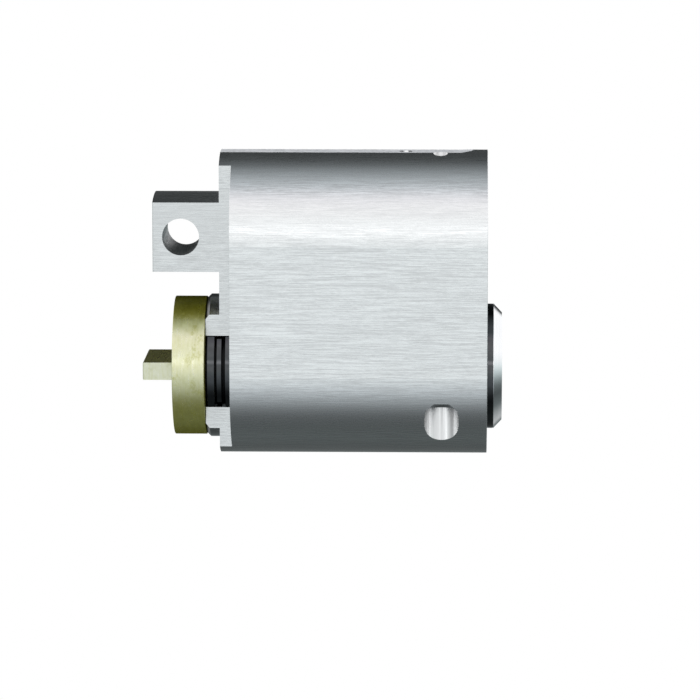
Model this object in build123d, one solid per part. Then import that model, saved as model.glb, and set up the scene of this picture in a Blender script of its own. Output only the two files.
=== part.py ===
from build123d import *
import math
import os

os.makedirs("parts", exist_ok=True)

# Oval mortice lock cylinder, single sided, with a fixing lug at its rear.
# All sizes in millimetres. Everything is drawn first in the plug frame:
#   X along the plug axis, 0 at the housing's front face, rear is negative;
#   Y across, 0 on the middle plane; Z up, 0 on the plug axis.
# write() then moves each piece so that the origin is the centre of the
# cross hole in the fixing lug, which is what holds the cylinder in its lock.

# ---- housing, machined from one oval bar -------------------------------
BODY_R = 9.5            # radius of both rounds of the oval section
UPPER_Z = 14.2          # upper round centre above the plug axis
FRONT_X = 0.0
SHOULDER_X = -27.69     # where the full oval ends and the side flats begin
TONGUE_X = -29.0        # rear end of the flatted oval tongue
FLAT_Y = 4.73           # half thickness across the side flats
HUB_R = 7.81            # boss around the plug bore
HUB_X = -30.50
HUB_CHAMFER = 0.40
BORE_R = 6.145
EDGE = 0.04             # broken edge at the front
SHOULDER_EDGE = 0.02

# ---- fixing lug ---------------------------------------------------------
LUG_X = -36.20
LUG_LOW_Z = 10.88
LUG_TOP_Z = 18.42       # at its two long edges; the top is turned about the plug axis
LUG_CORNER_NEAR = 0.10
LUG_CORNER_FAR = 0.30
HOLE_X = -33.15
HOLE_Z = 14.68
HOLE_R = 2.0

# ---- flat milled along the crest ---------------------------------------
CREST_Z = UPPER_Z + BODY_R
FLAT_DROP = 0.122
FLAT_END_X = -2.90      # the cutter lifts out from here
FLAT_OUT_X = -1.50      # to here

# ---- pin chambers -------------------------------------------------------
PIN_X = (-6.60, -11.20, -14.80, -18.40, -22.00, -25.60)
CHAMBER_R = 1.40
PIN_R = 1.35
CHAMBER_FLOOR_Z = -1.20  # bottom of the drilled chamber in the plug
SHEAR_KEY_Z = 5.90       # top of the key pins at the shear line
SHEAR_DRIVER_Z = 6.17    # bottom of the driver pins at the shear line
KEY_PIN_LENGTHS = (4.0, 5.2, 3.6, 4.8, 4.3, 5.5)
DRIVER_LENGTHS = (5.2, 4.6, 5.4, 4.8, 5.1, 4.4)
STOPPER_LOW_Z = 20.80    # underside of the pressed chamber plugs
STOPPER_R = 1.395

# ---- guard pins in the housing, sunk a little below the surface ---------
GUARD_A = (-5.12, -1.86, 0.77)   # x, y, hole radius
GUARD_B = (-8.89, -0.30, 0.71)
GUARD_TOP_Z = 22.75
GUARD_A_LOW_Z = 15.0
GUARD_B_LOW_Z = 19.5

# ---- drilled pocket low on the side, breaking out of the surface --------
POCKET_X = -4.90
POCKET_Y = -8.10
POCKET_R = 1.86
POCKET_WALL_Z = -3.60    # end of the straight wall; a blunt cone follows
POCKET_TIP_Z = -2.80
POCKET_TIP_R = 1.25

# ---- plug ---------------------------------------------------------------
PLUG_R = 6.10
HEAD_R = 6.81
HEAD_BACK_X = 0.68
HEAD_FRONT_X = 1.61
HEAD_FACE_R = 5.87
PLUG_REAR_X = -27.55
SPIGOT_R = 4.30
SPIGOT_REAR_X = -30.53
CLIP_GROOVE_R = 3.90
KEYWAY_END_X = -27.1
KEYWAY_HALF = 1.05
KEYWAY_LOW_Z = -5.20
KEYWAY_TOP_Z = 2.90

# ---- rings on the plug --------------------------------------------------
SEAL_X = (0.02, 0.66)
WASHER_X = (-30.31, -29.52)
CLIP_X = (-29.30, -28.76)
SPACER_X = (-28.37, -27.80)
WASHER_R = 6.05
CLIP_R = 5.76
SPACER_R = 6.05
RING_EDGE = 0.03

# ---- cam disc and tail bar ----------------------------------------------
DISC_R = 7.56
DISC_X = (-34.02, -30.55)
DISC_EDGE = 0.05
TAIL_REAR_X = -37.34
TAIL_FRONT_X = -31.03
TAIL_HALF_Y = 4.77
TAIL_HALF_Z = 0.95
SLOT_PLAY = 0.02
SCREW_Z = 2.90
SCREW_R = 0.79
SCREW_HEAD_R = 1.50

TO_ROW = Location((-HOLE_X, 0, -HOLE_Z))


def prism_x(sketch, x0, x1):
    """Extrudes a sketch drawn in (Y, Z) from x0 to x1."""
    return extrude(Plane.YZ.offset(x0) * sketch, x1 - x0)


def rod_x(radius, x0, x1, y=0.0, z=0.0):
    return prism_x(Pos(y, z) * Circle(radius), x0, x1)


def rod_z(radius, z0, z1, x=0.0, y=0.0):
    return extrude(Plane.XY.offset(z0) * (Pos(x, y) * Circle(radius)), z1 - z0)


def rod_y(radius, y0, y1, x=0.0, z=0.0):
    middle = (y0 + y1) / 2
    return Pos(x, middle, z) * Rot(90, 0, 0) * Cylinder(radius, abs(y1 - y0))


def block(x0, x1, y0, y1, z0, z1):
    return Pos((x0 + x1) / 2, (y0 + y1) / 2, (z0 + z1) / 2) * Box(
        x1 - x0, y1 - y0, z1 - z0
    )


def turned_x(points):
    """Turns a closed outline of (x, radius) points about the X axis."""
    outline = make_face(Polyline(*[(x, 0, r) for x, r in points], close=True))
    return revolve(outline, Axis.X, 360)


def turned_z(points, x=0.0):
    """Turns a closed outline of (radius, z) points about a vertical axis at x."""
    outline = make_face(Polyline(*[(r, 0, z) for r, z in points], close=True))
    return Pos(x, 0, 0) * revolve(outline, Axis.Z, 360)


def write(name, shape):
    solids = [s.moved(TO_ROW) for s in shape.solids()]
    body = solids[0] if len(solids) == 1 else Compound(children=solids)
    body.label = name
    export_step(body, f"parts/{name}.step")


def oval(radius=BODY_R):
    return (
        Circle(radius)
        + Pos(0, UPPER_Z) * Circle(radius)
        + Pos(0, UPPER_Z / 2) * Rectangle(2 * radius, UPPER_Z)
    )

# ========================================================================
# Housing
# ========================================================================
shell = prism_x(oval(), SHOULDER_X, FRONT_X)
shell = chamfer(shell.faces().sort_by(Axis.X)[-1].edges(), EDGE)
shell = chamfer(shell.faces().sort_by(Axis.X)[0].edges(), SHOULDER_EDGE)

between_flats = block(-45, 5, -FLAT_Y, FLAT_Y, -20, 40)
tongue = prism_x(oval(), TONGUE_X, SHOULDER_X + 1.0) & between_flats
hub = (
    turned_x(
        [
            (SHOULDER_X + 1.0, 0.0),
            (SHOULDER_X + 1.0, HUB_R),
            (HUB_X + HUB_CHAMFER, HUB_R),
            (HUB_X, HUB_R - HUB_CHAMFER),
            (HUB_X, 0.0),
        ]
    )
    & between_flats
)
lug = block(LUG_X, SHOULDER_X + 1.0, -FLAT_Y, FLAT_Y, LUG_LOW_Z, LUG_TOP_Z + 1)
corners = lug.edges().filter_by(Axis.Z).sort_by(Axis.X)[:2].sort_by(Axis.Y)
lug = fillet(corners[0], LUG_CORNER_NEAR)
corners = lug.edges().filter_by(Axis.Z).group_by(Axis.X)[0].sort_by(Axis.Y)
lug = fillet(corners[-1], LUG_CORNER_FAR)
lug &= rod_x(math.hypot(LUG_TOP_Z, FLAT_Y), LUG_X - 1, SHOULDER_X + 2)
housing = shell + tongue + hub + lug

# plug bore, pin chambers, the lug's cross hole
housing -= rod_x(BORE_R, HUB_X - 1, FRONT_X + 1)
for x in PIN_X:
    housing -= rod_z(CHAMBER_R, 2.0, CREST_Z + 1, x)
housing -= rod_y(HOLE_R, -FLAT_Y - 1, FLAT_Y + 1, HOLE_X, HOLE_Z)

# flat along the crest, with the cutter's ramp at its front end
ramp = make_face(
    Polyline(
        (TONGUE_X - 1, CREST_Z - FLAT_DROP),
        (FLAT_END_X, CREST_Z - FLAT_DROP),
        (FLAT_OUT_X, CREST_Z + 0.02),
        (FLAT_OUT_X, CREST_Z + 1),
        (TONGUE_X - 1, CREST_Z + 1),
        close=True,
    )
)
housing -= extrude(Plane.XZ * ramp, 5, both=True)

# guard pin holes, and the pocket drilled up from below
housing -= rod_z(GUARD_A[2], GUARD_A_LOW_Z, CREST_Z + 1, GUARD_A[0], GUARD_A[1])
housing -= rod_z(GUARD_B[2], GUARD_B_LOW_Z, CREST_Z + 1, GUARD_B[0], GUARD_B[1])
pocket = turned_z(
    [
        (0, -14.0),
        (POCKET_R, -14.0),
        (POCKET_R, POCKET_WALL_Z),
        (POCKET_TIP_R, POCKET_TIP_Z),
        (0, POCKET_TIP_Z),
    ]
)
housing -= Pos(POCKET_X, POCKET_Y, 0) * pocket
write("cylinder_housing", housing)

# ========================================================================
# Plug: barrel, bevelled head, rear spigot, keyway, chambers
# ========================================================================
clip_a, clip_b = CLIP_X
plug = turned_x(
    [
        (HEAD_FRONT_X, 0),
        (HEAD_FRONT_X, HEAD_FACE_R),
        (HEAD_BACK_X + 0.03, HEAD_R),
        (HEAD_BACK_X, HEAD_R),
        (HEAD_BACK_X, PLUG_R),
        (PLUG_REAR_X + 0.15, PLUG_R),
        (PLUG_REAR_X, PLUG_R - 0.15),
        (PLUG_REAR_X, SPIGOT_R),
        (clip_b + 0.02, SPIGOT_R),
        (clip_b + 0.02, CLIP_GROOVE_R),
        (clip_a - 0.02, CLIP_GROOVE_R),
        (clip_a - 0.02, SPIGOT_R),
        (SPIGOT_REAR_X, SPIGOT_R),
        (SPIGOT_REAR_X, 0),
    ]
)
# warded keyway: (y, z) outline, closed below so that the plug stays one piece
k, lo, hi = KEYWAY_HALF, KEYWAY_LOW_Z, KEYWAY_TOP_Z
keyway = make_face(
    Polyline(
        (-k, lo),
        (k, lo),
        (k, -1.95),
        (0.35, -1.45),
        (0.35, -0.75),
        (k, -0.25),
        (k, hi),
        (-k, hi),
        (-k, 1.35),
        (-0.45, 0.95),
        (-0.45, 0.45),
        (-k, 0.05),
        (-k, -2.85),
        (-0.30, -3.25),
        (-0.30, -3.80),
        (-k, -4.20),
        close=True,
    )
)
plug -= prism_x(keyway, KEYWAY_END_X, HEAD_FRONT_X + 1)
# funnel at the keyway's mouth
mouth = loft(
    [
        Plane.YZ.offset(HEAD_FRONT_X - 0.55)
        * (Pos(0, (lo + hi) / 2) * Rectangle(2 * k, hi - lo)),
        Plane.YZ.offset(HEAD_FRONT_X + 0.05)
        * (Pos(0, (lo + hi) / 2) * Rectangle(2 * k + 0.9, hi - lo + 0.5)),
    ]
)
plug -= mouth
for x in PIN_X:
    plug -= rod_z(CHAMBER_R, CHAMBER_FLOOR_Z, PLUG_R + 1, x)
# tapped holes for the disc's screws, and the guard pins beside the keyway
for side in (1, -1):
    plug -= rod_x(SCREW_R + 0.01, SPIGOT_REAR_X - 1, -27.9, 0, side * SCREW_Z)
    plug -= rod_x(0.85, -5.4, HEAD_FRONT_X + 1, side * 2.9, 3.25)
write("plug", plug)

guards = [
    rod_x(0.84, -5.38, HEAD_FRONT_X - 0.12, side * 2.9, 3.25) for side in (1, -1)
]
write("plug_guard_pins", Compound(children=guards))

# ========================================================================
# Rings that turn with the plug
# ========================================================================
def ring(x0, x1, outer, inner, edge):
    return turned_x(
        [
            (x0, inner),
            (x0, outer - edge),
            (x0 + edge, outer),
            (x1 - edge, outer),
            (x1, outer - edge),
            (x1, inner),
        ]
    )


write("front_seal_ring", ring(*SEAL_X, HEAD_R - 0.01, PLUG_R + 0.02, RING_EDGE))
write("thrust_washer", ring(*WASHER_X, WASHER_R, SPIGOT_R + 0.02, RING_EDGE))
clip = ring(*CLIP_X, CLIP_R, CLIP_GROOVE_R + 0.02, RING_EDGE)
# the clip's opening, on the far side
clip -= block(CLIP_X[0] - 1, CLIP_X[1] + 1, 0, 12, -2.2, 2.2)
for side in (1, -1):
    clip -= rod_x(0.55, CLIP_X[0] - 1, CLIP_X[1] + 1, 4.05, side * 2.95)
write("retaining_clip", clip)
write("spacer_ring", ring(*SPACER_X, SPACER_R, SPIGOT_R + 0.02, RING_EDGE))

# ========================================================================
# Cam disc, tail bar and the screws that hold the disc to the plug
# ========================================================================
d0, d1 = DISC_X
disc = turned_x(
    [
        (d0, 0),
        (d0, DISC_R - DISC_EDGE),
        (d0 + DISC_EDGE, DISC_R),
        (d1 - DISC_EDGE, DISC_R),
        (d1, DISC_R - DISC_EDGE),
        (d1, 0),
    ]
)
p = SLOT_PLAY
disc -= block(
    d0 - 1,
    TAIL_FRONT_X + p,
    -TAIL_HALF_Y - p,
    TAIL_HALF_Y + p,
    -TAIL_HALF_Z - p,
    TAIL_HALF_Z + p,
)
sink = SCREW_HEAD_R - SCREW_R
for side in (1, -1):
    hole = turned_x(
        [
            (d0 - 0.2, 0),
            (d0 - 0.2, SCREW_HEAD_R + 0.04),
            (d0 + 0.15, SCREW_HEAD_R + 0.04),
            (d0 + 0.15 + sink, SCREW_R + 0.04),
            (d1 + 0.2, SCREW_R + 0.04),
            (d1 + 0.2, 0),
        ]
    )
    disc -= Pos(0, 0, side * SCREW_Z) * hole
write("cam_disc", disc)

tail = block(
    TAIL_REAR_X,
    TAIL_FRONT_X,
    -TAIL_HALF_Y,
    TAIL_HALF_Y,
    -TAIL_HALF_Z,
    TAIL_HALF_Z,
)
tail = chamfer(tail.faces().sort_by(Axis.X)[0].edges(), 0.08)
write("tail_bar", tail)

screws = []
for side in (1, -1):
    one = turned_x(
        [
            (d0 + 0.03, 0),
            (d0 + 0.03, SCREW_HEAD_R),
            (d0 + 0.15, SCREW_HEAD_R),
            (d0 + 0.15 + sink, SCREW_R),
            (-28.15, SCREW_R),
            (-28.0, SCREW_R - 0.15),
            (-28.0, 0),
        ]
    )
    one -= block(d0 - 0.5, d0 + 0.55, -2, 2, -0.2, 0.2)
    screws.append(Pos(0, 0, side * SCREW_Z) * one)
write("disc_screws", Compound(children=screws))

# ========================================================================
# Pin stacks: key pin, driver pin, spring and pressed chamber plug
# ========================================================================
def key_pin(length):
    top, low = SHEAR_KEY_Z, SHEAR_KEY_Z - length
    return turned_z(
        [
            (0, low),
            (0.45, low),
            (PIN_R, low + 0.75),
            (PIN_R, top - 0.12),
            (PIN_R - 0.12, top),
            (0, top),
        ]
    )


def driver_pin(length, spool):
    low, top = SHEAR_DRIVER_Z, SHEAR_DRIVER_Z + length
    outline = [(0, low), (PIN_R - 0.10, low), (PIN_R, low + 0.10)]
    if spool:
        outline += [
            (PIN_R, low + 0.8),
            (PIN_R - 0.35, low + 1.15),
            (PIN_R - 0.35, top - 1.15),
            (PIN_R, top - 0.8),
        ]
    outline += [(PIN_R, top - 0.10), (PIN_R - 0.10, top), (0, top)]
    return turned_z(outline)


def coil(low, top, radius=1.05, wire=0.14, turns=9):
    """A helical spring between two heights, on the Z axis."""
    start, height = low + wire, top - low - 2 * wire
    path = Helix(pitch=height / turns, height=height, radius=radius)
    section = Plane(origin=path @ 0, z_dir=path % 0) * Circle(wire)
    return Pos(0, 0, start) * sweep(section, path=path)


for i, x in enumerate(PIN_X):
    n = i + 1
    write(f"key_pin_{n}", Pos(x, 0, 0) * key_pin(KEY_PIN_LENGTHS[i]))
    write(
        f"driver_pin_{n}", Pos(x, 0, 0) * driver_pin(DRIVER_LENGTHS[i], n in (2, 4, 5))
    )
    low = SHEAR_DRIVER_Z + DRIVER_LENGTHS[i] + 0.03
    write(f"driver_spring_{n}", Pos(x, 0, 0) * coil(low, STOPPER_LOW_Z - 0.03))

# the chamber plugs are dressed off flush with the crest
crest_form = prism_x(oval(BODY_R - 0.01), TONGUE_X, FRONT_X) & block(
    -45, 5, -20, 20, STOPPER_LOW_Z, CREST_Z - FLAT_DROP - 0.01
)
stoppers = []
for x in PIN_X:
    one = turned_z(
        [
            (0, STOPPER_LOW_Z),
            (STOPPER_R - 0.15, STOPPER_LOW_Z),
            (STOPPER_R, STOPPER_LOW_Z + 0.15),
            (STOPPER_R, CREST_Z + 1),
            (0, CREST_Z + 1),
        ],
        x,
    )
    stoppers.append(one & crest_form)
write("chamber_plugs", Compound(children=stoppers))

write(
    "housing_guard_pin_front",
    rod_z(GUARD_A[2] - 0.01, GUARD_A_LOW_Z + 0.01, GUARD_TOP_Z, GUARD_A[0], GUARD_A[1]),
)
write(
    "housing_guard_pin_rear",
    rod_z(GUARD_B[2] - 0.01, GUARD_B_LOW_Z + 0.01, GUARD_TOP_Z, GUARD_B[0], GUARD_B[1]),
)
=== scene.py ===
import bpy
import math
from mathutils import Matrix, Vector


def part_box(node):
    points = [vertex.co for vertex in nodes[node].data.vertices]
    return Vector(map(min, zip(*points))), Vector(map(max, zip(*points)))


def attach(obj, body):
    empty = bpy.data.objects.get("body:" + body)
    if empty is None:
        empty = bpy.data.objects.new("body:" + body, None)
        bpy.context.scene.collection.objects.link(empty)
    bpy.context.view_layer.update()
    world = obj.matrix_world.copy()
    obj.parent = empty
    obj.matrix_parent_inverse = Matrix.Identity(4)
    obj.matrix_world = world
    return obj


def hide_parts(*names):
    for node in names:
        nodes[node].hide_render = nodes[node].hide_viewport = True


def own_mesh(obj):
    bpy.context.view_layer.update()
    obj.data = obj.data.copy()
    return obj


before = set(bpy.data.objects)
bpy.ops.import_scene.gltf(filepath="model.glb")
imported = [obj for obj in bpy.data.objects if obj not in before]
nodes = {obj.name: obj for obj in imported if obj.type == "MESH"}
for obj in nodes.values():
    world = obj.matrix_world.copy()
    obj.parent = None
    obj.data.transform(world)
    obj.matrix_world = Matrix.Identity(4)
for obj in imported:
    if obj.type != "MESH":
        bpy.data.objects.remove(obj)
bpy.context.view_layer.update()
scene = bpy.context.scene
scene.view_settings.view_transform = "Standard"

MM = 0.001

# places read from the frame -------------------------------------------------
plug_lo, plug_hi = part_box("plug")
body_lo, body_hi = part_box("cylinder_housing")
AXIS_Y = 0.0
AXIS_Z = (plug_lo.z + plug_hi.z) / 2
FRONT_X = body_hi.x

# camera ----------------------------------------------------------------------
# Seen slightly from above and from the key side, with a long lens. The pixel
# unit is the size of one pixel at the plug axis.
UNIT = 0.10935 * MM
PITCH, YAW, DIST = 0.152, 0.025, 4424.0
AIM_X, AIM_Z = 136.82, -15.73
c_, s_ = math.cos(PITCH), math.sin(PITCH)
cy, sy = math.cos(YAW), math.sin(YAW)
right = Vector((cy, sy, 0))
ahead = Vector((-sy * c_, cy * c_, -s_))
above = Vector((-sy * s_, cy * s_, c_))
start = Vector((FRONT_X, 0, AXIS_Z))
eye = start - (right * AIM_X + above * AIM_Z + ahead * DIST) * UNIT
cam_data = bpy.data.cameras.new("camera")
cam_data.lens = DIST / 700 * 36
cam_data.sensor_width = 36
cam_data.clip_start = 0.01
cam_data.clip_end = 20
cam = bpy.data.objects.new("camera", cam_data)
scene.collection.objects.link(cam)
m = Matrix.Identity(3)
m.col[0], m.col[1], m.col[2] = right, above, -ahead
cam.matrix_world = Matrix.Translation(eye) @ m.to_4x4()
scene.camera = cam


# node helpers ----------------------------------------------------------------
class Nodes:
    """A short way to write a node tree."""

    def __init__(self, tree):
        self.t = tree
        for n in list(tree.nodes):
            tree.nodes.remove(n)

    def new(self, kind, **props):
        n = self.t.nodes.new("ShaderNode" + kind)
        for k, v in props.items():
            setattr(n, k, v)
        return n

    def put(self, socket, value):
        if isinstance(value, bpy.types.NodeSocket):
            self.t.links.new(value, socket)
        elif value is not None:
            socket.default_value = value

    def math(self, op, a, b=None, clamp=False):
        n = self.new("Math", operation=op, use_clamp=clamp)
        self.put(n.inputs[0], a)
        if b is not None:
            self.put(n.inputs[1], b)
        return n.outputs[0]

    def span(self, value, lo, hi, to_lo, to_hi, smooth=False):
        n = self.new("MapRange", clamp=True)
        if smooth:
            n.interpolation_type = "SMOOTHSTEP"
        self.put(n.inputs["Value"], value)
        for k, v in (("From Min", lo), ("From Max", hi), ("To Min", to_lo), ("To Max", to_hi)):
            n.inputs[k].default_value = v
        return n.outputs["Result"]

    def mix(self, factor, a, b, mode="MIX"):
        n = self.new("Mix", data_type="RGBA", blend_type=mode)
        self.put(n.inputs["Factor"], factor)
        self.put(n.inputs["A"], a)
        self.put(n.inputs["B"], b)
        return n.outputs["Result"]

    def ramp(self, factor, stops, mode="LINEAR"):
        n = self.new("ValToRGB")
        e = n.color_ramp.elements
        n.color_ramp.interpolation = mode
        while len(e) > 1:
            e.remove(e[-1])
        e[0].position, e[0].color = stops[0][0], (*stops[0][1], 1)
        for pos, col in stops[1:]:
            x = e.new(pos)
            x.color = (*col, 1)
        self.put(n.inputs["Fac"], factor)
        return n.outputs["Color"]

    def noise(self, vector, scale, detail=3.0, rough=0.5, distort=0.0):
        n = self.new("TexNoise", noise_dimensions="3D")
        self.put(n.inputs["Vector"], vector)
        n.inputs["Scale"].default_value = scale
        n.inputs["Detail"].default_value = detail
        n.inputs["Roughness"].default_value = rough
        n.inputs["Distortion"].default_value = distort
        return n.outputs["Fac"]

    def stretched(self, sx, sy, sz, at=(0, 0, 0)):
        """The piece's own position, scaled by axis: a large number makes detail fine."""
        co = self.new("TexCoord").outputs["Object"]
        n = self.new("Mapping")
        self.put(n.inputs["Vector"], co)
        n.inputs["Location"].default_value = at
        n.inputs["Scale"].default_value = (sx, sy, sz)
        return n.outputs["Vector"]

    def bump(self, height, strength, distance):
        n = self.new("Bump")
        self.put(n.inputs["Height"], height)
        n.inputs["Strength"].default_value = strength
        n.inputs["Distance"].default_value = distance
        return n.outputs["Normal"]


def material(name):
    mat = bpy.data.materials.new(name)
    mat.use_nodes = True
    return mat, Nodes(mat.node_tree)


def finish_material(n, shader):
    out = n.new("OutputMaterial")
    n.put(out.inputs["Surface"], shader)


def principled(n, color, metallic, roughness, normal=None, tangent=None, **fixed):
    p = n.new("BsdfPrincipled")
    if tangent is not None:
        n.put(p.inputs["Tangent"], tangent)
    n.put(p.inputs["Base Color"], color)
    p.inputs["Metallic"].default_value = metallic
    n.put(p.inputs["Roughness"], roughness)
    if normal is not None:
        n.put(p.inputs["Normal"], normal)
    for k, v in fixed.items():
        p.inputs[k.replace("_", " ")].default_value = v
    return p.outputs[0]


def across(n, axis):
    """The direction on the surface that lies square to brushing along an axis."""
    v = n.new("VectorMath", operation="CROSS_PRODUCT")
    n.put(v.inputs[0], n.new("NewGeometry").outputs["Normal"])
    v.inputs[1].default_value = axis
    return v.outputs["Vector"]


def end_face(n):
    """1 on faces that look along X."""
    sep = n.new("SeparateXYZ")
    n.put(sep.inputs[0], n.new("NewGeometry").outputs["Normal"])
    return n.math("GREATER_THAN", n.math("ABSOLUTE", sep.outputs["X"]), 0.9)


# materials -------------------------------------------------------------------
def place(n):
    """The piece's own position, as three sockets in metres."""
    sep = n.new("SeparateXYZ")
    n.put(sep.inputs[0], n.new("TexCoord").outputs["Object"])
    return sep.outputs["X"], sep.outputs["Y"], sep.outputs["Z"]


def inside(n, a, b, at_a, at_b, radius):
    """1 within a radius of an axis, given the two coordinates across it."""
    da = n.math("SUBTRACT", a, at_a)
    db = n.math("SUBTRACT", b, at_b)
    far = n.math("SQRT", n.math("ADD", n.math("MULTIPLY", da, da), n.math("MULTIPLY", db, db)))
    return n.math("LESS_THAN", far, radius)


def toned(n, tone, light):
    """A colour times a lightness socket."""
    grey = n.new("CombineColor")
    for s in ("Red", "Green", "Blue"):
        n.put(grey.inputs[s], light)
    return n.mix(1.0, (*tone, 1), grey.outputs[0], "MULTIPLY")


def mixed(n, factor, a, b):
    m = n.new("MixShader")
    n.put(m.inputs[0], factor)
    n.put(m.inputs[1], a)
    n.put(m.inputs[2], b)
    return m.outputs[0]


def brushed_nickel(name, tone=(0.93, 0.93, 0.93), rough=0.28, streak=1.0, seed=0.0):
    """Satin plate brushed along X, its end faces along Z, with the drilled and milled places left as cut."""
    mat, n = material(name)
    x, y, z = place(n)
    end = end_face(n)

    def lines(along, square, at):
        return n.mix(end, n.stretched(along, square, square, at), n.stretched(square, square, along, at))

    fine = n.noise(lines(380, 11000, (seed, 0, 0)), 1.0, 1.0, 0.5)
    hair = n.noise(lines(190, 15000, (seed + 7, 1, 0)), 1.0, 1.0, 0.5)
    short = n.noise(lines(1700, 10500, (seed + 3, 2, 0)), 1.0, 1.0, 0.5)
    both = n.math("ADD", n.math("MULTIPLY", fine, 0.42), n.math("MULTIPLY", hair, 0.34))
    both = n.math("ADD", both, n.math("MULTIPLY", short, 0.24))
    # the upper round is polished finer than the sides; below it is a coarser patch
    high = n.span(z, ROUND_Z + 0.2 * MM, ROUND_Z + 2.0 * MM, 0.0, 1.0)
    high = n.math("MULTIPLY", high, n.span(z, ROUND_Z + 5.2 * MM, ROUND_Z + 6.2 * MM, 1.0, 0.0))
    swing = n.math("SUBTRACT", 1.0, n.math("MULTIPLY", high, 0.50))
    coarse = n.math("MULTIPLY", n.span(z, ROUND_Z + 5.2 * MM, ROUND_Z + 5.7 * MM, 0.0, 0.7),
                    n.span(z, ROUND_Z + 6.2 * MM, ROUND_Z + 7.0 * MM, 1.0, 0.0))
    swing = n.math("MULTIPLY", n.math("ADD", swing, coarse), streak)
    level = n.span(both, 0.39, 0.61, -1.0, 1.0)
    light = n.math("ADD", n.math("MULTIPLY", n.math("MULTIPLY", level, swing), 0.130), 0.928)
    # the tongue and lug are cut faces, a little greyer than the plated sides
    light = n.math("MULTIPLY", light, n.span(x, LUG_FACE_X, SHOULDER_X, 0.91, 0.95))
    light = n.math("MULTIPLY", light, n.span(x, SHOULDER_X, SHOULDER_X + 0.02 * MM, 1.0, 1.0 / 0.95))
    r = n.span(both, 0.39, 0.61, rough + 0.04, rough - 0.04)
    tangent = n.mix(end, across(n, (1, 0, 0)), across(n, (0, 0, 1)))
    brushed = principled(
        n, toned(n, tone, light), 1.0, r, n.bump(both, 0.15, 0.000006), tangent, Anisotropic=0.6
    )

    # milled crest and front guard hole: pale matte metal, mottled, the cutter's
    # marks leaning it towards the key side
    spot = n.noise(n.stretched(1900, 1900, 1900, (seed, 5, 1)), 1.0, 4.0, 0.65)
    patch = n.noise(n.stretched(330, 600, 600, (seed + 2, 8, 1)), 1.0, 2.0, 0.5)
    spot = n.math("ADD", n.math("MULTIPLY", spot, 0.70), n.math("MULTIPLY", patch, 0.30))
    pale = toned(n, (0.97, 0.98, 1.0), n.span(spot, 0.38, 0.56, 0.82, 1.0))
    tilt = n.math("ADD", n.math("MULTIPLY", y, CREST_LEAN), n.math("MULTIPLY", spot, 0.00002))
    matte = principled(n, pale, 0.60, n.span(spot, 0.35, 0.65, 0.75, 0.5), n.bump(tilt, 1.0, 1.0))
    floor_z = n.span(x, FLAT_END_X, FLAT_OUT_X, CREST_FLAT_Z, CREST_FLAT_Z + 0.142 * MM)
    above_flat = n.math("SUBTRACT", z, floor_z)
    crest = n.math("GREATER_THAN", above_flat, -0.013 * MM)
    crest = n.math("MULTIPLY", crest, n.math("LESS_THAN", above_flat, 0.010 * MM))
    front_hole = inside(n, x, y, GUARD_A[0], GUARD_A[1], GUARD_A[2] + 0.006 * MM)
    front_hole = n.math("MULTIPLY", front_hole, n.math("GREATER_THAN", z, GUARD_LOW_Z))
    rear_hole = inside(n, x, y, GUARD_B[0], GUARD_B[1], GUARD_B[2] + 0.006 * MM)
    rear_hole = n.math("MULTIPLY", rear_hole, n.math("GREATER_THAN", z, GUARD_LOW_Z))
    flare = n.bump(n.math("MULTIPLY", z, -0.42), 1.0, 1.0)
    # rear guard hole: a painted reflection, bright down the middle of its far wall, with painted shade towards its
    # sides
    painted_glint_offset = n.math("ABSOLUTE", n.math("SUBTRACT", x, GUARD_B[0]))
    reamed_painted_glint = principled(n, toned(n, (1.0, 1.0, 1.0), n.span(painted_glint_offset, 0.22 * MM, 0.38 * MM, 1.0, 0.06)), 1.0, 0.22, flare)
    chamfered = principled(n, toned(n, (1.0, 1.0, 1.0), n.span(spot, 0.38, 0.62, 0.86, 1.0)), 1.0, 0.42, flare)

    # drilled pocket: bright bare wall, with the drill's lines along Z and its feed marks leaning the surface up a
    # little. Across the wall, bands of painted highlight and painted shade stand for its reflections.
    drill = n.noise(n.stretched(4200, 4200, 90, (seed, 0, 2)), 1.0, 2.0, 0.55)
    wide = n.noise(n.stretched(1300, 1300, 60, (seed, 4, 2)), 1.0, 1.0, 0.5)
    cut = n.math("ADD", n.math("MULTIPLY", drill, 0.5), n.math("MULTIPLY", wide, 0.5))
    side = n.span(x, POCKET[0] - POCKET[2], POCKET[0] + POCKET[2], 0.0, 1.0)
    painted_reflection_bands = n.ramp(side, [
        (0.0, (0.80,) * 3), (0.14, (0.97,) * 3), (0.26, (0.88,) * 3), (0.42, (0.82,) * 3), (0.50, (0.76,) * 3),
        (0.60, (0.96,) * 3), (0.68, (1.0,) * 3), (0.76, (0.64,) * 3), (0.83, (0.62,) * 3), (0.93, (1.0,) * 3),
        (1.0, (0.78,) * 3),
    ])
    cut_and_painted_reflection = n.mix(1.0, toned(n, (1.0, 1.0, 1.0), n.span(cut, 0.36, 0.60, 0.78, 1.0)), painted_reflection_bands, "MULTIPLY")
    lean = n.math("ADD", n.math("MULTIPLY", z, -0.16), n.math("MULTIPLY", cut, 0.00003))
    wall = principled(n, cut_and_painted_reflection, 1.0, n.span(cut, 0.36, 0.64, 0.36, 0.24), n.bump(lean, 1.0, 1.0))
    pocket = inside(n, x, y, POCKET[0], POCKET[1], POCKET[2] + 0.01 * MM)
    pocket = n.math("MULTIPLY", pocket, inside(n, y, z, 0.0, AXIS_Z, 9.49 * MM))
    tip = n.math("MULTIPLY", pocket, n.math("LESS_THAN", z, POCKET_TOP_Z))
    pocket = n.math("MULTIPLY", pocket, n.math("LESS_THAN", z, POCKET_WALL_Z))
    # the drill point's cone is painted darker than the wall: painted shade
    drill_point_painted_shade = principled(n, toned(n, (0.60, 0.60, 0.61), n.span(cut, 0.36, 0.60, 0.8, 1.0)), 1.0, 0.30)
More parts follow.
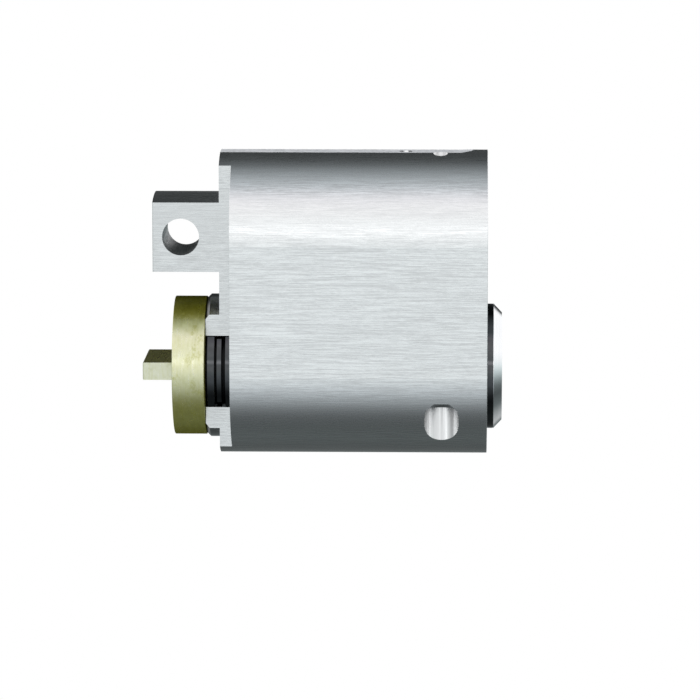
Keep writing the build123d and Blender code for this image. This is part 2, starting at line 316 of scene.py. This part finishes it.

    # the lug's cross hole, reamed along Y; its wall is painted darker towards the front, painted shade
    ream = n.noise(n.stretched(5200, 140, 5200, (seed, 1, 6)), 1.0, 2.0, 0.55)
    ream_and_painted_shade = n.math("MULTIPLY", n.span(ream, 0.38, 0.62, 0.60, 1.0), n.span(x, -1.5 * MM, 0.5 * MM, 1.0, 0.66))
    ream_tone = toned(n, (0.99, 0.995, 1.0), ream_and_painted_shade)
    bored = principled(n, ream_tone, 1.0, n.span(ream, 0.36, 0.64, 0.42, 0.28), n.bump(ream, 0.3, 0.00001))
    bore = inside(n, x, z, 0.0, 0.0, 2.004 * MM)

    # the hub is turned, so its lines run round the plug axis. It is painted darker than the plated sides, and near
    # black behind its chamfer next to the disc: painted shade
    lathe = n.noise(n.stretched(9000, 150, 150, (seed, 3, 3)), 1.0, 2.0, 0.5)
    hub_lines_and_painted_shade = toned(n, (0.57, 0.58, 0.58), n.span(lathe, 0.36, 0.64, 0.90, 1.0))
    hub_lines_and_painted_shade = n.mix(n.math("LESS_THAN", x, HUB_CHAMFER_X), hub_lines_and_painted_shade, (0.20, 0.20, 0.20, 1))
    turned = principled(n, hub_lines_and_painted_shade, 1.0, n.span(lathe, 0.3, 0.7, 0.26, 0.18), n.bump(lathe, 0.15, 0.00001))
    hub = inside(n, y, z, 0.0, AXIS_Z, HUB_R + 0.02 * MM)
    hub = n.math("MULTIPLY", hub, n.math("LESS_THAN", x, SHOULDER_X - 0.05 * MM))
    hub = n.math("MULTIPLY", hub, n.math("LESS_THAN", n.math("ABSOLUTE", y), HALF_LUG - 0.01 * MM))

    shader = mixed(n, crest, brushed, matte)
    shader = mixed(n, front_hole, shader, chamfered)
    shader = mixed(n, rear_hole, shader, reamed_painted_glint)
    shader = mixed(n, tip, shader, drill_point_painted_shade)
    shader = mixed(n, pocket, shader, wall)
    shader = mixed(n, bore, shader, bored)
    shader = mixed(n, hub, shader, turned)
    finish_material(n, shader)
    return mat


def turned_metal(name, tone, rough, lines=0.06, painted_shade_behind=None):
    """Bright turned metal: fine rings about the plug axis. Behind a given X it is painted near black, painted shade
    down among the rings.
    """
    mat, n = material(name)
    line = n.noise(n.stretched(9000, 120, 120), 1.0, 2.0, 0.5)
    cloud = n.noise(n.stretched(300, 300, 300), 1.0, 3.0, 0.5)
    both = n.math("ADD", n.math("MULTIPLY", line, 0.75), n.math("MULTIPLY", cloud, 0.25))
    light = n.span(both, 0.3, 0.7, 1 - lines, 1 + lines * 0.5)
    r = n.span(line, 0.3, 0.7, rough + 0.06, rough - 0.03)
    shader = principled(n, toned(n, tone, light), 1.0, r, n.bump(line, 0.2, 0.00001))
    if painted_shade_behind is not None:
        # painted shade: behind that X the metal is painted near black
        x, y, z = place(n)
        black = principled(n, toned(n, (0.020, 0.020, 0.022), light), 0.0, 0.45, Specular_IOR_Level=0.25)
        shader = mixed(n, n.math("LESS_THAN", x, painted_shade_behind), shader, black)
    finish_material(n, shader)
    return mat


def brass(name, grainy=1.0, under=1.0, under_blue=0.0, share=0.31):
    """Pale brass with an olive cast: finely turned, tarnished in patches, with bright specks."""
    mat, n = material(name)
    line = n.noise(n.stretched(5600, 420, 420), 1.0, 3.0, 0.6)
    mottle = n.noise(n.stretched(1700, 1200, 1200), 1.0, 3.0, 0.6)
    patch = n.noise(n.stretched(620, 520, 520, (2.3, 0.7, 4.1)), 1.0, 4.0, 0.6)
    grain = n.noise(n.stretched(4600, 3000, 3000, (1, 3, 2)), 1.0, 2.0, 0.6)
    both = n.math("ADD", n.math("MULTIPLY", line, 0.5), n.math("MULTIPLY", mottle, 0.5))
    even = n.span(both, 0.34, 0.66, 0, 1)
    pale = n.ramp(even, [(0.0, (0.875, 0.865, 0.61)), (0.5, (0.965, 0.955, 0.755)), (1.0, (0.99, 0.98, 0.86))])
    tarnish = n.math("MULTIPLY", n.span(patch, 0.52, 0.62, 0, 1), n.span(grain, 0.40, 0.58, 0.0, 0.72 * grainy))
    pale = n.mix(tarnish, pale, (0.66, 0.65, 0.34, 1))
    speck = n.math("MULTIPLY", n.span(grain, 0.60, 0.66, 0, 1), n.span(patch, 0.40, 0.56, 0.1, 1))
    pale = n.mix(n.math("MULTIPLY", speck, 0.7 * grainy), pale, (1.0, 1.0, 0.88, 1))
    # painted shade: darker and greener towards the top, under the lug
    x, y, z = place(n)
    brass_shade_top = n.span(z, AXIS_Z + 4.2 * MM, AXIS_Z + 7.4 * MM, 0.0, 1.0)
    brass_shade_top = n.math("ADD", brass_shade_top, n.span(patch, 0.35, 0.65, -0.12, 0.12))
    brass_painted_shade = n.ramp(brass_shade_top, [
        (0.05, (1.0, 1.0, 1.0)), (0.28, (0.86, 0.86, 0.74)), (0.50, (0.64, 0.64, 0.50)), (0.75, (0.54, 0.54, 0.34)),
        (1.0, (0.42, 0.42, 0.30)),
    ])
    # and painted shade at the bottom, darker and yellower there
    low = n.span(n.math("ADD", z, n.math("MULTIPLY", n.math("SUBTRACT", patch, 0.5), 6.0 * MM)),
                 AXIS_Z - 5.6 * MM, AXIS_Z - 3.2 * MM, 1.0, 0.0)
    brass_painted_shade = n.mix(low, brass_painted_shade, n.mix(1.0, brass_painted_shade, (0.90, 0.89, 0.66, 1), "MULTIPLY"))
    pale = n.mix(1.0, pale, brass_painted_shade, "MULTIPLY")
    r = n.span(both, 0.3, 0.7, 0.33, 0.25)
    r = n.math("ADD", r, n.math("MULTIPLY", n.math("MAXIMUM", speck, tarnish), 0.12))
    high = n.math("ADD", both, n.math("MULTIPLY", speck, 0.5))
    normal = n.bump(high, 0.16 * grainy, 0.00001)
    metal = principled(n, pale, 1.0, r, normal, Specular_Tint=(0.28, 0.28, 0.13, 1.0))
    olive = n.mix(n.span(mottle, 0.35, 0.65, 0, 1), (0.53 * under, 0.51 * under, 0.012 + under_blue, 1), (0.65 * under, 0.63 * under, 0.025 + under_blue, 1))
    olive = n.mix(1.0, olive, brass_painted_shade, "MULTIPLY")
    under = principled(n, olive, 0.0, 0.7, normal, Specular_IOR_Level=0.0)
    finish_material(n, mixed(n, share, metal, under))
    return mat


def black_gloss(name, dull=0.11, bright=0.06):
    mat, n = material(name)
    line = n.noise(n.stretched(7000, 200, 200), 1.0, 2.0, 0.5)
    dust = n.noise(n.stretched(1500, 1500, 1500), 1.0, 4.0, 0.6)
    tone = n.mix(n.span(dust, 0.4, 0.7, 0, 1), (0.080, 0.083, 0.087, 1), (0.100, 0.104, 0.109, 1))
    r = n.span(line, 0.3, 0.7, dull, bright)
    finish_material(n, principled(n, tone, 1.0, r, n.bump(line, 0.1, 0.00001)))
    return mat


# places on the housing, taken from the frame
pin_a_lo, pin_a_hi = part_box("housing_guard_pin_front")
pin_b_lo, pin_b_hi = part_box("housing_guard_pin_rear")
GUARD_A = ((pin_a_lo.x + pin_a_hi.x) / 2, (pin_a_lo.y + pin_a_hi.y) / 2, (pin_a_hi.x - pin_a_lo.x) / 2 + 0.01 * MM)
GUARD_B = ((pin_b_lo.x + pin_b_hi.x) / 2, (pin_b_lo.y + pin_b_hi.y) / 2, (pin_b_hi.x - pin_b_lo.x) / 2 + 0.01 * MM)
GUARD_LOW_Z = pin_b_lo.z
CREST_FLAT_Z = body_hi.z - 0.122 * MM
FLAT_END_X, FLAT_OUT_X = FRONT_X - 2.90 * MM, FRONT_X - 1.50 * MM
CREST_LEAN = 1.75
ROUND_Z = body_hi.z - 9.5 * MM
POCKET = (FRONT_X - 4.90 * MM, -8.10 * MM, 1.86 * MM)
POCKET_TOP_Z, POCKET_WALL_Z = AXIS_Z - 2.7 * MM, AXIS_Z - 3.59 * MM
SPIGOT_X = FRONT_X - 27.5 * MM
SHOULDER_X = FRONT_X - 27.69 * MM
LUG_FACE_X = FRONT_X - 29.0 * MM
HALF_LUG = 4.73 * MM
HUB_CHAMFER_X = FRONT_X - 30.12 * MM
HUB_R = 7.81 * MM

housing_metal = brushed_nickel("brushed_nickel")
plug_metal = turned_metal("turned_nickel", (0.93, 0.94, 0.95), 0.13, 0.04, SPIGOT_X)
pin_steel = turned_metal("pin_steel", (0.70, 0.71, 0.72), 0.25)
hard_steel = turned_metal("hardened_steel", (0.62, 0.63, 0.65), 0.22)
screw_steel = turned_metal("screw_steel", (0.72, 0.73, 0.74), 0.25)
brass_pale = brass("brass")
brass_bar = brass("brass_bar", 0.5, 0.60, 0.07, 0.20)
pin_brass = turned_metal("pin_brass", (0.80, 0.66, 0.36), 0.25)
black = black_gloss("black_gloss")
black_seal = black_gloss("black_seal", 0.045, 0.025)
look = {
    "cylinder_housing": housing_metal,
    "chamber_plugs": housing_metal,
    "housing_guard_pin_front": housing_metal,
    "housing_guard_pin_rear": housing_metal,
    "plug_guard_pins": hard_steel,
    "plug": plug_metal,
    "front_seal_ring": black_seal,
    "thrust_washer": black,
    "retaining_clip": black,
    "spacer_ring": black,
    "cam_disc": brass_pale,
    "tail_bar": brass_bar,
    "disc_screws": screw_steel,
}
for name, o in nodes.items():
    if name in look:
        mat = look[name]
    elif name.startswith("key_pin"):
        mat = pin_brass
    elif name.startswith("driver_pin"):
        mat = pin_steel
    else:
        mat = hard_steel
    o.data.materials.clear()
    o.data.materials.append(mat)

# each driver spring is replaced by its own copy, carried by the housing
for name, o in list(nodes.items()):
    if not name.startswith("driver_spring_"):
        continue
    number = name.rsplit("_", 1)[1]
    coil = bpy.data.objects.new(f"driver_coil_{number}", o.data.copy())
    scene.collection.objects.link(coil)
    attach(coil, "housing")
    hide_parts(name)
    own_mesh(coil)

# studio ----------------------------------------------------------------------
# Soft light all round, by the angle about the plug axis: 0 is level in front,
# 90 straight up, 180 level behind. Towards the two ends another gradient takes
# over. The camera itself sees plain white.
world = bpy.data.worlds.new("studio")
scene.world = world
world.use_nodes = True
w = Nodes(world.node_tree)
direction = w.new("TexCoord").outputs["Generated"]
sep = w.new("SeparateXYZ")
w.put(sep.inputs[0], direction)
minus_y = w.math("MULTIPLY", sep.outputs["Y"], -1.0)
angle = w.math("ARCTAN2", sep.outputs["Z"], minus_y)
turn = w.span(angle, -math.pi, math.pi, 0.0, 1.0)
POWER = 2.5
# SKY begin
SKY = [
    (-180, 0.020), (-172, 0.120), (-160, 0.175), (-150, 0.085), (-140, 0.062), (-128, 0.050),
    (-104, 0.095), (-80, 0.066), (-60, 0.058), (-48, 0.136), (-36, 0.330), (-27, 0.500),
    (-18, 0.600), (-10, 0.712), (-3, 0.920), (4, 0.950), (9, 0.890), (12, 1.780), (15, 1.780),
    (19, 0.880), (27, 0.940), (38, 0.990), (50, 1.030), (60, 0.960), (66, 0.730), (72, 0.510),
    (82, 0.450), (94, 0.290), (106, 0.170), (120, 0.026), (140, 0.020), (180, 0.033),
]
# SKY end
# ENDS begin
ENDS = [
    (-90, 0.066), (-60, 0.020), (-40, 0.164), (-25, 0.065), (-18, 0.128), (-12, 0.283),
    (-6, 0.540), (0, 0.796), (6, 0.964), (12, 1.061), (25, 1.055), (45, 0.020), (70, 0.132),
    (90, 0.360),
]
# ENDS end


def stops(table, lo, hi):
    """Ramp stops; the dimmer the light, the cooler it is."""
    made = []
    for a, v in table:
        cool = 1 + 0.17 * (1 - min(v, 1.0) ** 3)
        green = cool - (0.05 if lo == -180 and (60 <= a <= 110 or -60 <= a <= -15) else 0.0)
        made.append(((a - lo) / (hi - lo), (v / POWER, v * green / POWER, v * (cool + 0.01) / POWER)))
    return made


around = w.ramp(turn, stops(SKY, -180, 180))
height = w.math("ARCSINE", sep.outputs["Z"])
lift = w.span(height, -math.pi / 2, math.pi / 2, 0.0, 1.0)
ends = w.ramp(lift, stops(ENDS, -90, 90))
to_front = w.span(sep.outputs["X"], 0.26, 0.44, 0.0, 1.0, smooth=True)
to_rear = w.span(sep.outputs["X"], -0.42, -0.66, 0.0, 1.0, smooth=True)
sky = w.mix(w.math("MAXIMUM", to_front, to_rear), around, ends)
# a soft glow from low behind, towards the key side
low = w.span(sep.outputs["Z"], -0.30, -0.46, 0.0, 1.0, smooth=True)
behind = w.span(sep.outputs["Y"], 0.38, 0.80, 0.0, 0.40 / POWER)
glow = w.math("MULTIPLY", w.math("MULTIPLY", low, behind), w.span(w.math("ABSOLUTE", sep.outputs["X"]), 0.22, 0.40, 0.10, 1.0))
glow_grey = w.new("CombineColor")
for s in ("Red", "Green", "Blue"):
    w.put(glow_grey.inputs[s], glow)
sky = w.mix(1.0, sky, glow_grey.outputs[0], "ADD")
light_bg = w.new("Background")
w.put(light_bg.inputs["Color"], sky)
light_bg.inputs["Strength"].default_value = POWER
seen_bg = w.new("Background")
seen_bg.inputs["Color"].default_value = (1.0, 1.0, 1.0, 1.0)
pick = w.new("MixShader")
w.put(pick.inputs[0], w.new("LightPath").outputs["Is Camera Ray"])
w.put(pick.inputs[1], light_bg.outputs[0])
w.put(pick.inputs[2], seen_bg.outputs[0])
out = w.new("OutputWorld")
w.put(out.inputs["Surface"], pick.outputs[0])

# floor -------------------------------------------------------------------------
# A wide, plain white floor well below the object, which neither shades nor
# lights it.
floor_mesh = bpy.data.meshes.new("floor")
f = 40.0
low = body_lo.z - 0.16
floor_mesh.from_pydata([(-f, -f, low), (f, -f, low), (f, f, low), (-f, f, low)], [], [(0, 1, 2, 3)])
floor = bpy.data.objects.new("floor", floor_mesh)
scene.collection.objects.link(floor)
floor_mat, n = material("floor_white")
glow_white = n.new("Emission")
glow_white.inputs["Color"].default_value = (1.0, 1.0, 1.0, 1.0)
finish_material(n, glow_white.outputs[0])
floor_mesh.materials.append(floor_mat)
for kind in ("diffuse", "glossy", "transmission", "shadow", "volume_scatter"):
    setattr(floor, "visible_" + kind, False)
